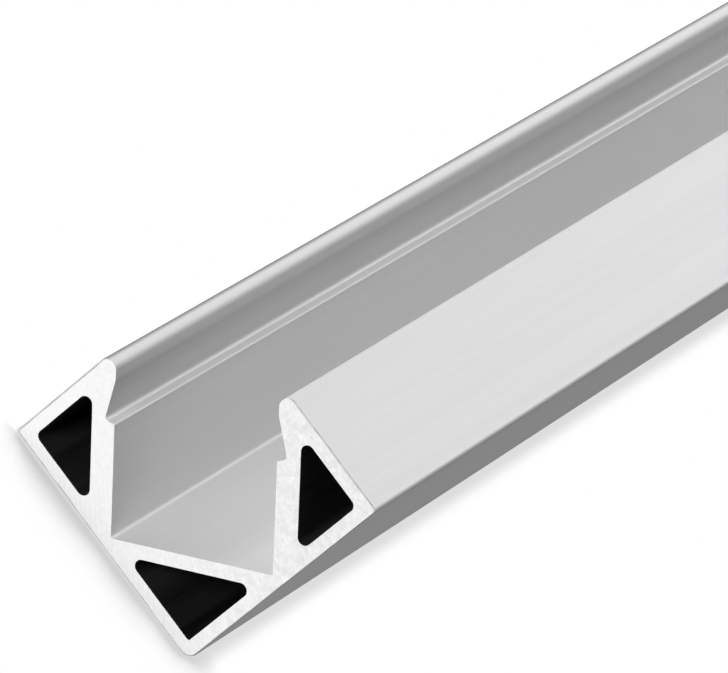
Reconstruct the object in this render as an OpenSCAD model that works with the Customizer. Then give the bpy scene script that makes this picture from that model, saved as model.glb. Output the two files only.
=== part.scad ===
// Corner LED strip profile: one length of extruded aluminium with a square
// section. Its open channel looks out along the square's diagonal, so the strip
// in it shines out of a corner at 45 degrees. Two lips hold a snap-in cover.
// Millimetres, +Z up. The stock lies on one back face and runs along X, with the
// other back face towards -Y. The origin is the centre of the face it lies on.

/* [Stock] */
// Length of the piece of stock
length = 500; // [100:50:2000]
// Side of the square section, on which both back faces lie
side = 18; // [17:0.5:24]

/* [Walls] */
// Thickness of the outer walls
wall = 1.0; // [0.8:0.1:1.3]
// Thickness of the wall between the channel and each side chamber
channel_wall = 1.65; // [1.2:0.05:2]
// Thickness of the web between the channel's floor and the heel chamber
floor_web = 1.0; // [0.8:0.1:1.4]

/* [Channel] */
// Clear width of the channel, which takes the strip
channel_w = 11.5; // [10:0.5:12]
// Height of the channel's floor above the heel corner, along the diagonal
floor_h = 7.0; // [6:0.25:8]

/* [Cover lips] */
// Radius of each lip's nose
nose_r = 0.65; // [0.5:0.05:0.75]
// Length of the upright land on the inside of each lip, below its nose
lip_land = 0.6; // [0.4:0.1:1]
// Height of the snap groove, which slopes away from the land to the ledge
groove_h = 2.75; // [2:0.05:3.5]
// Depth of the snap groove behind each lip
groove_depth = 0.7; // [0.4:0.05:0.9]
// Rise of the ledge, on which the cover rests, from its edge to the groove
ledge_rise = 0.22; // [0.1:0.02:0.3]

/* [Corner radii] */
// Radius of the heel, the closed corner where both back faces meet
heel_r = 0.8; // [0.3:0.1:1.2]
// Radius of the two side corners
tip_r = 0.45; // [0.2:0.05:0.9]
// Radius inside the chambers
chamber_r = 0.35; // [0.2:0.05:0.45]
// Radius of the small inside corners of the channel and grooves
fillet_r = 0.25; // [0.15:0.05:0.3]
// Radius of the ledge's edge and of the heel chamber's lowest corner
edge_r = 0.12; // [0.08:0.02:0.2]

/* [Hidden] */

// Steps in which each rounded corner turns
arc_steps = 8;
// Length that a cut runs past the end of the stock
over = 1;

// Half the width of the channel, and the outside of the wall beside it
half_w = channel_w / 2;
chamber_x = half_w + channel_wall;

// The section is drawn with the heel corner at the origin and the channel
// opening along +Y. There a back face runs along y = |x|, and a front face
// along y = front - |x|.
tip = side / sqrt(2);
front = side * sqrt(2);
wall_y = wall * sqrt(2);

// Heights at which the nose meets its land, the land meets the groove's slope,
// the slope meets the ledge and the ledge meets the channel's wall
nose_y = front - half_w - nose_r * (1 + sqrt(2));
land_y = nose_y - lip_land;
groove_y = land_y - groove_h;
ledge_y = groove_y - ledge_rise;

// Unit vector from point a to point b
function heading(a, b) = (b - a) / norm(b - a);

// Points of the arc that rounds the corner at b, between its neighbours a and c.
// A corner is [x, y, radius].
function arc_at(a, b, c) =
    let (
        corner = [b.x, b.y],
        to_a = heading(corner, [a.x, a.y]),
        to_c = heading(corner, [c.x, c.y]),
        half_angle = acos(to_a * to_c) / 2,
        centre = corner + heading([0, 0], to_a + to_c) * b.z / sin(half_angle),
        start = corner + to_a * b.z / tan(half_angle) - centre,
        side_sign = sign(to_a.x * to_c.y - to_a.y * to_c.x),
        turn = -side_sign * (180 - 2 * half_angle)
    )
    [for (i = [0 : arc_steps])
        let (t = turn * i / arc_steps)
        centre + [
            start.x * cos(t) - start.y * sin(t),
            start.x * sin(t) + start.y * cos(t)
        ]
    ];

// Closed outline through corners, each rounded to its own radius
function rounded(corners) =
    let (n = len(corners))
    [for (i = [0 : n - 1], p = arc_at(
            corners[(i + n - 1) % n], corners[i], corners[(i + 1) % n]))
        p
    ];

// Corners of the right half, then of the left half, its mirror image. A corner
// on the middle line is in the list once.
function both_halves(right) = concat(
    right,
    [for (i = [len(right) - 1 : -1 : 0])
        if (right[i].x != 0) [-right[i].x, right[i].y, right[i].z]
    ]
);

// Outside of the section, with the channel, the lips and their grooves
outline = both_halves([
    [0, 0, heel_r],
    [tip, tip, tip_r],
    [half_w, front - half_w, nose_r],
    [half_w, land_y, nose_r],
    [half_w + groove_depth, groove_y, fillet_r],
    [half_w, ledge_y, edge_r],
    [half_w, floor_h, fillet_r],
]);

// Triangular chamber in the right side, between the two outer walls and the
// channel's wall. A pin of each end cap fits in it.
side_chamber = [
    [chamber_x, chamber_x + wall_y, chamber_r],
    [tip - wall_y, tip, chamber_r],
    [chamber_x, front - wall_y - chamber_x, chamber_r],
];

// Triangular chamber in the heel, under the channel's floor
heel_top = floor_h - floor_web;
heel_chamber = both_halves([
    [0, wall_y, edge_r],
    [heel_top - wall_y, heel_top, chamber_r],
]);

// The hollow with this outline, cut through the whole length
module chamber(corners) {
    translate([0, 0, -over])
        linear_extrude(length + 2 * over)
            polygon(rounded(corners));
}

// The extrusion, standing on its end with the heel corner at the origin
module extrusion() {
    difference() {
        linear_extrude(length) polygon(rounded(outline));
        chamber(heel_chamber);
        chamber(side_chamber);
        mirror([1, 0, 0]) chamber(side_chamber);
    }
}

// The piece of stock, laid on its back face
module profile() {
    color([0.86, 0.86, 0.87])
        translate([-length / 2, -side / 2, 0])
            rotate([90, 0, 90])
                rotate([0, 0, -45])
                    extrusion();
}

profile();
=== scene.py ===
import math

import bmesh
import bpy
from mathutils import Matrix, Vector, noise


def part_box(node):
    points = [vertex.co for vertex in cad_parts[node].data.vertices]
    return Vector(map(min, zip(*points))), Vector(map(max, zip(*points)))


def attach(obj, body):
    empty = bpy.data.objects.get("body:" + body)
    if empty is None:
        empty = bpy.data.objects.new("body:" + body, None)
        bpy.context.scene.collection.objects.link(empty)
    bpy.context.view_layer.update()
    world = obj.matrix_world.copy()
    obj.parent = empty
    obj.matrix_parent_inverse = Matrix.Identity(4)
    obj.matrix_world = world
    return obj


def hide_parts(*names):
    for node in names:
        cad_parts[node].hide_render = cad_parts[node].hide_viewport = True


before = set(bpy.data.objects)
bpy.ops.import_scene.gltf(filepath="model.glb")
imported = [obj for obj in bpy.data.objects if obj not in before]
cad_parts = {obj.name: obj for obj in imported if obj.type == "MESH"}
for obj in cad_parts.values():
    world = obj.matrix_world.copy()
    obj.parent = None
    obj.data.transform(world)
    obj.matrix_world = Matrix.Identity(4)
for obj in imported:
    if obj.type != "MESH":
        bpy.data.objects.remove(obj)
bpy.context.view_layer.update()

# Looks of the corner LED strip profile: one length of aluminium extrusion, which
# lies on a back face and is seen from its sawn end. The high side of the section
# is the one at -Y, and the low side the one at +Y. Lengths are in millimetres
# where nothing else is said, and become metres where a mesh or a node takes them.
MM = 0.001

# The stock's own box, from the frame, in millimetres. It lies along X.
LOW, HIGH = (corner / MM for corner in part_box("profile"))
SIDE = HIGH.z - LOW.z
NEAR_X, FAR_X = LOW.x, HIGH.x

# Sizes of the section, as in the part's source
WALL = 1.0
CHANNEL_WALL = 1.65
FLOOR_WEB = 1.0
HALF_WIDTH = 5.75
FLOOR_HEIGHT = 7.0
NOSE_RADIUS = 0.65
LIP_LAND = 0.6
GROOVE_HEIGHT = 2.75
GROOVE_DEPTH = 0.7
LEDGE_RISE = 0.22
HEEL_RADIUS = 0.8
EDGE_RADIUS = 0.12

# Radii of the two side corners, inside the chambers, at the bottom of the snap
# grooves and beside the channel's floor. They follow the photograph more finely
# than the part's source does.
TIP_RADIUS = 0.28
CHAMBER_RADIUS = 0.45
GROOVE_RADIUS = 0.32
FLOOR_RADIUS = 0.15

# How finely the section is meshed: steps to a rounded corner, and the longest
# stretch of a straight side between two points. A side is straight where the
# normals at its ends have at least this cosine between them.
ARC_STEPS = 12
STRAIGHT_STEP = 0.6
STRAIGHT_COSINE = 0.9999

# The saw leaves a narrow broken edge round each end. BREAK_VARIES is how far its
# width wanders from the mean, in patches as long as BREAK_PATCH, and BREAK_SLICE
# picks the noise that it follows. At the high corner, where the blade comes out,
# it is wider by the share BREAK_LEAN, and at the low one as much narrower. It
# fades out over BREAK_FADE beside the lips' noses, and round the chambers it has
# the share CHAMBER_BREAK of its width.
BREAK_MEAN = 0.095
BREAK_VARIES = 0.04
BREAK_PATCH = 1.4
BREAK_SLICE = 3.1
BREAK_LEAN = 1 / 3
BREAK_FADE = 0.5
CHAMBER_BREAK = 0.35

# Camera, fitted to the corners of the cut end in the photograph, for a picture of
# 728 x 673: the lens and its sensor, the clip distances in metres, the place from
# the heel corner of that end in sides of the square, and the right and up
# directions
LENS = 376.5
SENSOR_WIDTH = 36.0
CLIP_START, CLIP_END = 0.02, 30.0
CAMERA_FROM_HEEL = Vector((-21.60, -1.169, 15.23))
CAMERA_RIGHT = Vector((0.4648, -0.5974, 0.6535))
CAMERA_UP = Vector((0.2796, 0.7993, 0.5319))


# Section


def rounded(corners, hollow=False):
    """Points of a closed outline whose corners (x, y, radius) are rounded, with
    its straight sides subdivided, and at each the normal that leaves the metal.
    Inside a hollow outline there is no metal."""
    points = []
    count = len(corners)
    for i in range(count):
        before, (x, y, radius), after = corners[i - 1], corners[i], corners[(i + 1) % count]
        corner = Vector((x, y))
        to_before = (Vector(before[:2]) - corner).normalized()
        to_after = (Vector(after[:2]) - corner).normalized()
        half = to_before.angle(to_after) / 2
        centre = corner + (to_before + to_after).normalized() * radius / math.sin(half)
        start = corner + to_before * radius / math.tan(half) - centre
        clockwise = to_before.cross(to_after) > 0
        turn = (math.pi - 2 * half) * (-1 if clockwise else 1)
        for step in range(ARC_STEPS + 1):
            spoke = Matrix.Rotation(turn * step / ARC_STEPS, 2) @ start
            outward = spoke.normalized() * (-1 if clockwise else 1)
            points.append((centre + spoke, -outward if hollow else outward))
    return with_straights(points)


def with_straights(points):
    """The same outline with points added along each straight side."""
    full = []
    for i, (point, normal) in enumerate(points):
        full.append((point, normal))
        following, next_normal = points[(i + 1) % len(points)]
        gap = (following - point).length
        if normal.dot(next_normal) > STRAIGHT_COSINE and gap > STRAIGHT_STEP:
            pieces = math.ceil(gap / STRAIGHT_STEP)
            for k in range(1, pieces):
                full.append((point.lerp(following, k / pieces), normal))
    return full


def both_halves(right):
    """Corners of the right half, then of the left half, its mirror image. A
    corner on the middle line comes once."""
    return right + [(-x, y, radius) for x, y, radius in reversed(right) if x]


TIP = SIDE / math.sqrt(2)
FRONT = SIDE * math.sqrt(2)
WALL_Y = WALL * math.sqrt(2)
CHAMBER_X = HALF_WIDTH + CHANNEL_WALL
LAND_Y = FRONT - HALF_WIDTH - NOSE_RADIUS * (1 + math.sqrt(2)) - LIP_LAND
GROOVE_Y = LAND_Y - GROOVE_HEIGHT
LEDGE_Y = GROOVE_Y - LEDGE_RISE
HEEL_TOP = FLOOR_HEIGHT - FLOOR_WEB

# The section with its heel corner at the origin and its channel opening along +Y
OUTLINE = both_halves([
    (0, 0, HEEL_RADIUS),
    (TIP, TIP, TIP_RADIUS),
    (HALF_WIDTH, FRONT - HALF_WIDTH, NOSE_RADIUS),
    (HALF_WIDTH, LAND_Y, NOSE_RADIUS),
    (HALF_WIDTH + GROOVE_DEPTH, GROOVE_Y, GROOVE_RADIUS),
    (HALF_WIDTH, LEDGE_Y, EDGE_RADIUS),
    (HALF_WIDTH, FLOOR_HEIGHT, FLOOR_RADIUS),
])
SIDE_CHAMBER = [
    (CHAMBER_X, CHAMBER_X + WALL_Y, CHAMBER_RADIUS),
    (TIP - WALL_Y, TIP, CHAMBER_RADIUS),
    (CHAMBER_X, FRONT - WALL_Y - CHAMBER_X, CHAMBER_RADIUS),
]
OTHER_CHAMBER = [(-x, y, radius) for x, y, radius in reversed(SIDE_CHAMBER)]
HEEL_CHAMBER = both_halves([
    (0, WALL_Y, EDGE_RADIUS),
    (HEEL_TOP - WALL_Y, HEEL_TOP, CHAMBER_RADIUS),
])


def in_row(vector):
    """A vector of the section as (Y, Z), turned to lie on its back face."""
    return Matrix.Rotation(-math.pi / 4, 2) @ vector


# Mesh of the extrusion

# Material slots of the mesh, in the order in which the materials go into it
SKIN, SAWN, BROKEN, HOLLOW = range(4)


def break_width(point):
    """Width of the broken edge at a point of an outline. It is 0 in the channel
    and on the lips' noses."""
    drift = noise.noise(Vector((point.x / BREAK_PATCH, point.y / BREAK_PATCH, BREAK_SLICE)))
    width = (BREAK_MEAN + BREAK_VARIES * drift) * (1 + point.x / TIP * BREAK_LEAN)
    below_channel = point.y < FLOOR_HEIGHT - EDGE_RADIUS
    past_nose = (abs(point.x) - HALF_WIDTH - NOSE_RADIUS) / BREAK_FADE
    return width if below_channel else width * min(max(past_nose, 0), 1)


def ring(bm, loop, x, share=0.0):
    """One closed ring of vertices at this X, drawn into the metal by a share of
    the broken edge's width."""
    verts = []
    for point, normal in loop:
        y, z = in_row(point - normal * break_width(point) * share)
        verts.append(bm.verts.new(Vector((x, y + LOW.y, z + LOW.z)) * MM))
    return verts


def skin_between(bm, a, b, materials):
    """Faces between two rings. Each has the material slot at its first vertex."""
    faces = []
    for i, material in enumerate(materials):
        j = (i + 1) % len(materials)
        face = bm.faces.new((a[i], a[j], b[j], b[i]))
        face.material_index = material
        faces.append(face)
    return faces


def ring_edges(bm, verts):
    """The edges that join a ring's neighbouring vertices."""
    return [bm.edges.get((verts[i - 1], verts[i])) for i in range(len(verts))]


def build_wall(bm, loop, share, skin, rims, normals):
    """The whole length of the stock along one outline, with a broken edge at each
    end. Returns its rings from near to far, and puts the section's true normal at
    each vertex between the broken edges into normals."""
    rings = [
        ring(bm, loop, NEAR_X, share),
        ring(bm, loop, NEAR_X + BREAK_MEAN * share),
        ring(bm, loop, FAR_X - BREAK_MEAN * share),
        ring(bm, loop, FAR_X, share),
    ]
    skin_between(bm, rings[0], rings[1], rims)
    for face in skin_between(bm, rings[1], rings[2], [skin] * len(loop)):
        face.smooth = True
    skin_between(bm, rings[2], rings[3], rims)
    for verts in rings[1:3]:
        for vert, (_, normal) in zip(verts, loop):
            normals[vert] = Vector((0, *in_row(normal)))
    return rings


def build_extrusion():
    """The whole piece of stock: skin, chambers, broken edges and sawn ends."""
    bm = bmesh.new()
    normals = {}
    outside = rounded(OUTLINE)
    rims = [BROKEN if break_width(point) > 0 else SKIN for point, _ in outside]
    walls = [build_wall(bm, outside, 1.0, SKIN, rims, normals)]
    for corners in (HEEL_CHAMBER, SIDE_CHAMBER, OTHER_CHAMBER):
        inside = rounded(corners, hollow=True)
        rims = [HOLLOW] * len(inside)
        walls.append(build_wall(bm, inside, CHAMBER_BREAK, HOLLOW, rims, normals))
    for end, outward in ((0, -1), (-1, 1)):
        edges = [edge for rings in walls for edge in ring_edges(bm, rings[end])]
        filled = bmesh.ops.triangle_fill(
            bm, edges=edges, use_beauty=True, normal=(outward, 0, 0))
        for face in filled["geom"]:
            if isinstance(face, bmesh.types.BMFace):
                face.material_index = SAWN
    bmesh.ops.recalc_face_normals(bm, faces=bm.faces)
    bm.verts.index_update()
    smooth_normals = {vert.index: normal for vert, normal in normals.items()}
    mesh = bpy.data.meshes.new("extruded_profile")
    bm.to_mesh(mesh)
    bm.free()
    shade(mesh, smooth_normals)
    piece = bpy.data.objects.new("extruded_profile", mesh)
    bpy.context.scene.collection.objects.link(piece)
    return piece


def shade(mesh, smooth_normals):
    """Gives the smooth faces the true normals of the section, by vertex, and
    leaves the others flat."""
    custom = []
    for polygon in mesh.polygons:
        for index in polygon.loop_indices:
            vertex = mesh.loops[index].vertex_index
            custom.append(smooth_normals[vertex] if polygon.use_smooth else polygon.normal)
    mesh.normals_split_custom_set(custom)


# Materials

# Satin skin: its tone and finish, then its patterns, in patches to a metre along
# X, Y and Z. The die's lines and clouds vary the tone by a share, broad lines vary
# the roughness, and lines and grain stand this many metres high.
SKIN_TONE = 0.80
SKIN_METAL = 0.28
SKIN_ROUGH = 0.62
SKIN_SPECULAR = 0.0
DIE_LINES = (6, 2600, 2600)
BROAD_LINES = (1.5, 420, 420)
CLOUDS = (18, 60, 60)
GRAIN = (9000, 9000, 9000)
TONE_VARIES = 0.015
ROUGH_VARIES = 0.03
LINE_HEIGHT = 0.0000012
GRAIN_HEIGHT = 0.0000008

# Distances from one back face: of the noses' centres and of the corners of the
# channel's floor, each on the side next to that face and on the other side
NOSE_Y = LAND_Y + LIP_LAND
NOSE_NEAR = (NOSE_Y - HALF_WIDTH - NOSE_RADIUS) / math.sqrt(2)
NOSE_FAR = (NOSE_Y + HALF_WIDTH + NOSE_RADIUS) / math.sqrt(2)
FLOOR_NEAR = (FLOOR_HEIGHT - HALF_WIDTH) / math.sqrt(2)
FLOOR_FAR = (FLOOR_HEIGHT + HALF_WIDTH) / math.sqrt(2)

# Lines along the stock where shade or light is painted into the skin's tone, darker for
# painted shade
# and brighter for painted highlights: Y and Z, how far each reaches, and the share of the
# skin's tone on it
PAINTED_SHADE_AND_LIGHT_LINES = [
    # Outside of the low lip, a thin line of painted shade along its edge
    (HIGH.y, NOSE_NEAR + 0.1, 0.6, 0.1),
    # Inside of the high lip, a painted highlight
    (LOW.y + NOSE_NEAR + 0.6, NOSE_FAR + 0.2, 0.5, 1.25),
    # High corner of the back face, a line of painted shade
    (LOW.y, SIDE - TIP_RADIUS, 0.25, 0.75),
    # Inside corner between the low side of the channel and its floor, a painted highlight
    (LOW.y + FLOOR_FAR, FLOOR_NEAR, 0.3, 1.2),
    # High side of the channel's floor, brighter with painted light
    (LOW.y + FLOOR_NEAR + 1.5, FLOOR_FAR - 1.5, 3.0, 1.09),
    # Painted shade in the low lip's groove, deepest under the lip
    (HIGH.y - 1.65, NOSE_NEAR - 0.15, 1.5, 0.82),
    (HIGH.y - 2.5, NOSE_NEAR - 1.6, 2.2, 0.92),
]

# Sawn ends: their tone and finish, the patches of their speckle and mottle, and
# the range of tones that each gives where the cut is clean and where it is smeared
SAWN_TONE = 0.97
SAWN_METAL = 0.4
SAWN_ROUGH = 0.5
SPECKLE = (4200, 4200, 4200)
MOTTLE = (2200, 1500, 2200)
CLEAN_SPECKLE = (0.985, 1.01)
CLEAN_MOTTLE = (0.99, 1.005)
SMEARED_SPECKLE = (0.91, 1.01)
SMEARED_MOTTLE = (0.82, 1.01)

# Values of Z - Y from which the cut begins to be smeared, and at which it fully is
SMEAR_START, SMEAR_STOP = -SIDE / 2, SIDE * 1.2

# The saw's marks are arcs round the blade's axis, at this Y and Z. Then come their
# fineness, how far they wander, how finely, and their height in metres.
BLADE_Y, BLADE_Z = 90, -110
SAW_MARKS = 900.0
SAW_WANDER = 3.0
SAW_DETAIL = 1.5
SAW_HEIGHT = 0.000004

# Broken edge: its patches and their tones, the share of the tone on the side that
# faces -Y, darkened there as painted shade, and its finish
BURRS = (1500, 1500, 1500)
BURR_TONES = (0.5, 0.72)
PAINTED_SHADE_SHARE = 0.3
BURR_METAL = 0.3
BURR_ROUGH = 0.45

# Inside of the chambers, painted near black as shade: its patches, their tones and its finish
HOLLOW_PATCHES = (30, 900, 900)
HOLLOW_SHADE_TONES = (0.006, 0.03)
HOLLOW_ROUGH = 0.6
HOLLOW_SPECULAR = 0.1


class Nodes:
    """Short calls for building one material's nodes."""

    def __init__(self, name):
        self.material = bpy.data.materials.new(name)
        self.material.use_nodes = True
        self.tree = self.material.node_tree
        self.tree.nodes.clear()
        self.output = self.add("ShaderNodeOutputMaterial")

    def add(self, kind, settings=None, **inputs):
        """A node with its settings and inputs. _ in an input's name is a space."""
        node = self.tree.nodes.new(kind)
        for key, value in (settings or {}).items():
            setattr(node, key, value)
        for key, value in inputs.items():
            self.put(node.inputs[key.replace("_", " ")], value)
        return node

    def put(self, socket, value):
        """Links a socket to another one, or gives it a plain value."""
        if isinstance(value, bpy.types.NodeSocket):
            self.tree.links.new(value, socket)
        else:
            socket.default_value = value

    def place(self, scale=(1, 1, 1)):
        """Object coordinates in metres, stretched by scale."""
        coords = self.add("ShaderNodeTexCoord")
        mapping = self.add("ShaderNodeMapping", Vector=coords.outputs["Object"], Scale=scale)
        return mapping.outputs["Vector"]

    def noise(self, scale, detail=2.0, roughness=0.5, distortion=0.0):
        """Noise from 0 to 1 with scale patches to a metre along each axis."""
        node = self.add(
            "ShaderNodeTexNoise", Vector=self.place(scale), Scale=1.0, Detail=detail,
            Roughness=roughness, Distortion=distortion)
        return node.outputs["Fac"]

    def spread(self, value, low, high, start=0.3, stop=0.7):
        """low where value is start, high where it is stop, and between them in
        proportion."""
        node = self.add(
            "ShaderNodeMapRange", From_Min=start, From_Max=stop, To_Min=low, To_Max=high,
            Value=value)
        return node.outputs["Result"]

    def blend(self, share, a, b):
        """a where share is 0, and b where it is 1."""
        return self.add("ShaderNodeMix", Factor=share, A=a, B=b).outputs["Result"]

    def math(self, operation, a, b):
        """The result of one operation on a and b."""
        node = self.add("ShaderNodeMath", {"operation": operation})
        self.put(node.inputs[0], a)
        self.put(node.inputs[1], b)
        return node.outputs["Value"]

    def grey(self, value):
        """The grey with this value in each channel."""
        node = self.add("ShaderNodeCombineColor", Red=value, Green=value, Blue=value)
        return node.outputs["Color"]

    def bump(self, height, distance, normal=None):
        """A normal bent by height, where a height of 1 stands distance metres high."""
        node = self.add("ShaderNodeBump", Height=height, Distance=distance, Strength=1.0)
        if normal is not None:
            self.put(node.inputs["Normal"], normal)
        return node.outputs["Normal"]


def near_line(n, y, z, reach, share):
    """share on the line along the stock at Y and Z, and 1 from reach away."""
    away = n.add("ShaderNodeVectorMath", {"operation": "DISTANCE"})
    n.put(away.inputs[0], n.place((0, 1, 1)))
    n.put(away.inputs[1], (0, y * MM, z * MM))
    return n.spread(away.outputs["Value"], share, 1.0, 0.0, reach * MM)


def satin_skin():
    """Satin anodised skin with fine lines from the die along its length, and painted shade
    and painted highlights along a few lines.
    """
    n = Nodes("satin_skin")
    lines = n.noise(DIE_LINES, detail=4, roughness=0.6)
    broad = n.noise(BROAD_LINES, detail=2)
    grain = n.noise(GRAIN, detail=2)
    clouds = n.noise(CLOUDS, detail=3)
    low, high = 1 - TONE_VARIES, 1 + TONE_VARIES
    tone = n.math("MULTIPLY", n.spread(lines, low, high), n.spread(clouds, low, high))
    tone = n.math("MULTIPLY", tone, SKIN_TONE)
    # Painted shade and painted highlights along the lines of the table
    for y, z, reach, share in PAINTED_SHADE_AND_LIGHT_LINES:
        tone = n.math("MULTIPLY", tone, near_line(n, y, z, reach, share))
    rough = n.math("ADD", n.spread(broad, -ROUGH_VARIES, ROUGH_VARIES), SKIN_ROUGH)
    bumped = n.bump(lines, LINE_HEIGHT, normal=n.bump(grain, GRAIN_HEIGHT))
    shader = n.add(
        "ShaderNodeBsdfPrincipled", Base_Color=n.grey(tone), Metallic=SKIN_METAL,
        Roughness=rough, Normal=bumped)
    n.put(shader.inputs["Specular IOR Level"], SKIN_SPECULAR)
    n.put(n.output.inputs["Surface"], shader.outputs["BSDF"])
    return n.material


def sawn_end():
    """Bright bare metal with the saw's marks. The blade left it clean at the low
    corner, where it went in, and smeared and mottled towards the high one."""
    n = Nodes("sawn_end")
    across = n.add("ShaderNodeVectorMath", {"operation": "DOT_PRODUCT"})
    n.put(across.inputs[0], n.place())
    n.put(across.inputs[1], (0, -1 / MM, 1 / MM))
    smear = n.spread(across.outputs["Value"], 0.0, 1.0, SMEAR_START, SMEAR_STOP)
    speckle = n.noise(SPECKLE, detail=3, roughness=0.7)
    mottle = n.noise(MOTTLE, detail=3, roughness=0.65, distortion=0.8)
    clean = n.math(
        "MULTIPLY", n.spread(speckle, *CLEAN_SPECKLE), n.spread(mottle, *CLEAN_MOTTLE))
    smeared = n.math(
        "MULTIPLY", n.spread(speckle, *SMEARED_SPECKLE), n.spread(mottle, *SMEARED_MOTTLE))
    tone = n.math("MULTIPLY", n.blend(smear, clean, smeared), SAWN_TONE)
    blade = n.add(
        "ShaderNodeMapping", Vector=n.place(),
        Location=(0.0, -BLADE_Y * MM, -BLADE_Z * MM), Scale=(0.0, 1.0, 1.0))
    saw = n.add(
        "ShaderNodeTexWave", {"wave_type": "RINGS", "rings_direction": "X"},
        Vector=blade.outputs["Vector"], Scale=SAW_MARKS, Distortion=SAW_WANDER,
        Detail=3.0, Detail_Scale=SAW_DETAIL)
    height = n.math("ADD", saw.outputs["Fac"], speckle)
    shader = n.add(
        "ShaderNodeBsdfPrincipled", Base_Color=n.grey(tone), Metallic=SAWN_METAL,
        Roughness=SAWN_ROUGH, Normal=n.bump(height, SAW_HEIGHT))
    n.put(n.output.inputs["Surface"], shader.outputs["BSDF"])
    return n.material


def broken_edge():
    """The narrow burred edge round each sawn end. It is darkened along the side
    that faces -Y with painted shade."""
    n = Nodes("broken_edge")
    burrs = n.noise(BURRS, detail=3)
    place = n.add("ShaderNodeSeparateXYZ", Vector=n.place())
    # Painted shade along the side that faces -Y
    painted_shade_side = n.spread(
        place.outputs["Y"], PAINTED_SHADE_SHARE, 1.0, LOW.y * MM, (LOW.y + BREAK_MEAN) * MM)
    tone = n.math("MULTIPLY", n.spread(burrs, *BURR_TONES), painted_shade_side)
    shader = n.add(
        "ShaderNodeBsdfPrincipled", Base_Color=n.grey(tone), Metallic=BURR_METAL,
        Roughness=BURR_ROUGH)
    n.put(n.output.inputs["Surface"], shader.outputs["BSDF"])
    return n.material


def painted_shade_hollow():
    """Inside of the chambers, painted near black as painted shade."""
    n = Nodes("painted_shade_hollow")
    patches = n.noise(HOLLOW_PATCHES, detail=3)
    # A near-black base colour stands in for the shade inside the chambers
    shader = n.add(
        "ShaderNodeBsdfPrincipled", Base_Color=n.grey(n.spread(patches, *HOLLOW_SHADE_TONES)),
        Roughness=HOLLOW_ROUGH)
    n.put(shader.inputs["Specular IOR Level"], HOLLOW_SPECULAR)
    n.put(n.output.inputs["Surface"], shader.outputs["BSDF"])
    return n.material


# Studio

# The studio floor's size and its height, in metres. It lies a little below the
# stock, so that the two faces don't coincide.
GROUND_SIZE = 12.0
GROUND_Z = -0.00002

# Seen directly or in a reflection, the floor and the world are white. Of the light
# that falls on the stock, they give less: the floor gives back this share of the
# lamps' light, and the world glows at this level.
GROUND_GIVES = 0.12
WORLD_GIVES = 0.0

# Softboxes: their distance and size in metres, then the azimuth and elevation of
# each in degrees and its power in watts
LAMP_DISTANCE = 3.0
LAMP_SIZE = 1.0
LAMPS = [
    (165, 22, 62.8),
    (165, 10, 18.3),
    (0, 22, 35.2),
    (22, 10, 22.3),
]

# The contact shadow on the floor: how far it reaches beside the high side, in
# front of the sawn end and on the lit low side, and how dark the first two get
SIDE_REACH, END_REACH, LIT_REACH = 1.8, 5.0, 0.3
SIDE_DEPTH, END_DEPTH = 0.28, 0.42

# One shadow turns into the other within this distance of the sawn end. In front of
# the end, the shadow stops between these distances past the low side's face.
END_TURN = END_REACH / 2
END_STOPS = (-END_REACH / 8, END_REACH / 3)

# Open share of the space over the floor where the shadow is deepest, and where it
# ends, and the samples that measure it
SHADOW_DEEP, SHADOW_ENDS = 0.6, 0.96
SHADOW_SAMPLES = 16


def seen_directly(tree):
    """1 for camera, glossy and transmission rays, and 0 for light's own paths."""
    path = tree.nodes.new("ShaderNodeLightPath")
    total = path.outputs["Is Camera Ray"]
    for name in ("Is Glossy Ray", "Is Transmission Ray"):
        node = tree.nodes.new("ShaderNodeMath")
        node.operation = "MAXIMUM"
        tree.links.new(total, node.inputs[0])
        tree.links.new(path.outputs[name], node.inputs[1])
        total = node.outputs["Value"]
    return total


def studio_floor():
    """White floor that shows the soft shadow where the stock touches it."""
    n = Nodes("studio_floor")
    dim = n.add("ShaderNodeBsdfDiffuse", Color=(GROUND_GIVES, GROUND_GIVES, GROUND_GIVES, 1))
    place = n.add("ShaderNodeSeparateXYZ", Vector=n.place((1 / MM, 1 / MM, 1 / MM)))
    x, y = place.outputs["X"], place.outputs["Y"]
    lit = n.spread(y, 0.0, 1.0, LOW.y, HIGH.y)
    soft_turn = n.spread(x, 1.0, 0.0, NEAR_X - END_TURN, NEAR_X + END_TURN)
    sharp_turn = n.spread(x, 1.0, 0.0, NEAR_X - LIT_REACH, NEAR_X)
    ahead = n.blend(lit, soft_turn, sharp_turn)
    past_corner = n.spread(y, 0.0, 1.0, HIGH.y + END_STOPS[0], HIGH.y + END_STOPS[1])
    side_reach = n.blend(lit, SIDE_REACH * MM, LIT_REACH * MM)
    end_reach = n.blend(past_corner, END_REACH * MM, LIT_REACH * MM)
    reach = n.blend(ahead, side_reach, end_reach)
    depth = n.blend(ahead, SIDE_DEPTH, END_DEPTH)
    contact = n.add(
        "ShaderNodeAmbientOcclusion", {"samples": SHADOW_SAMPLES}, Distance=reach)
    open_share = n.add(
        "ShaderNodeMapRange", {"interpolation_type": "SMOOTHSTEP"},
        From_Min=SHADOW_DEEP, From_Max=SHADOW_ENDS, Value=contact.outputs["AO"])
    closed = n.math("SUBTRACT", 1.0, open_share.outputs["Result"])
    shown = n.math("SUBTRACT", 1.0, n.math("MULTIPLY", closed, depth))
    white = n.add("ShaderNodeEmission", Color=n.grey(shown), Strength=1.0)
    mix = n.add("ShaderNodeMixShader")
    n.put(mix.inputs[0], seen_directly(n.tree))
    n.put(mix.inputs[1], dim.outputs["BSDF"])
    n.put(mix.inputs[2], white.outputs["Emission"])
    n.put(n.output.inputs["Surface"], mix.outputs["Shader"])
    return n.material


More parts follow.
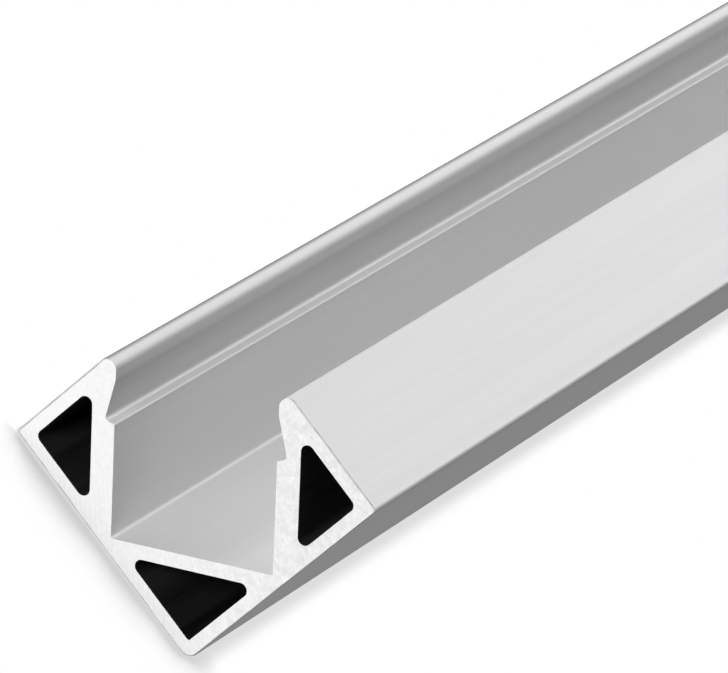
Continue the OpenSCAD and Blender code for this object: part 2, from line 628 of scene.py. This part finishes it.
def build_floor():
    """One large square under the stock."""
    mesh = bpy.data.meshes.new("floor")
    half = GROUND_SIZE / 2
    corners = [(-half, -half), (half, -half), (half, half), (-half, half)]
    mesh.from_pydata([(x, y, GROUND_Z) for x, y in corners], [], [(0, 1, 2, 3)])
    mesh.materials.append(studio_floor())
    floor = bpy.data.objects.new("floor", mesh)
    bpy.context.scene.collection.objects.link(floor)


def build_world():
    """Surroundings that look white, and give the stock their own level of light."""
    world = bpy.data.worlds.new("studio")
    bpy.context.scene.world = world
    world.use_nodes = True
    tree = world.node_tree
    tree.nodes.clear()
    output = tree.nodes.new("ShaderNodeOutputWorld")
    mix = tree.nodes.new("ShaderNodeMixShader")
    tree.links.new(seen_directly(tree), mix.inputs[0])
    for socket, level in ((mix.inputs[1], WORLD_GIVES), (mix.inputs[2], 1.0)):
        background = tree.nodes.new("ShaderNodeBackground")
        background.inputs["Color"].default_value = (level, level, level, 1)
        tree.links.new(background.outputs["Background"], socket)
    tree.links.new(mix.outputs["Shader"], output.inputs["Surface"])


def build_lamps():
    """Square softboxes that all face the sawn end. Azimuth is counted from +X
    towards +Y."""
    aim = Vector((NEAR_X, 0, SIDE / 2)) * MM
    for azimuth, elevation, watts in LAMPS:
        name = f"softbox_{azimuth}_{elevation}"
        lamp = bpy.data.lights.new(name, "AREA")
        lamp.shape = "SQUARE"
        lamp.size = LAMP_SIZE
        lamp.energy = watts
        turn = math.radians(azimuth)
        rise = math.radians(elevation)
        direction = Vector((
            math.cos(turn) * math.cos(rise), math.sin(turn) * math.cos(rise), math.sin(rise)))
        body = bpy.data.objects.new(name, lamp)
        body.location = aim + direction * LAMP_DISTANCE
        body.rotation_mode = "QUATERNION"
        body.rotation_quaternion = direction.to_track_quat("Z", "Y")
        body.visible_camera = False
        bpy.context.scene.collection.objects.link(body)


def build_camera():
    """The camera at the photograph's place."""
    camera = bpy.data.cameras.new("camera")
    camera.lens = LENS
    camera.sensor_width = SENSOR_WIDTH
    camera.clip_start = CLIP_START
    camera.clip_end = CLIP_END
    body = bpy.data.objects.new("camera", camera)
    right, up = CAMERA_RIGHT.normalized(), CAMERA_UP
    back = right.cross(up).normalized()
    up = back.cross(right)
    heel = Vector((NEAR_X, LOW.y, LOW.z)) * MM
    turn = Matrix((right, up, back)).transposed().to_4x4()
    body.matrix_world = Matrix.Translation(heel + CAMERA_FROM_HEEL * SIDE * MM) @ turn
    bpy.context.scene.collection.objects.link(body)
    bpy.context.scene.camera = body


# Scene

build_camera()
build_world()
build_floor()
build_lamps()

profile = build_extrusion()
for material in (satin_skin(), sawn_end(), broken_edge(), painted_shade_hollow()):
    profile.data.materials.append(material)
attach(profile, "root")
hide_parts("profile")

bpy.context.scene.view_settings.view_transform = "Standard"
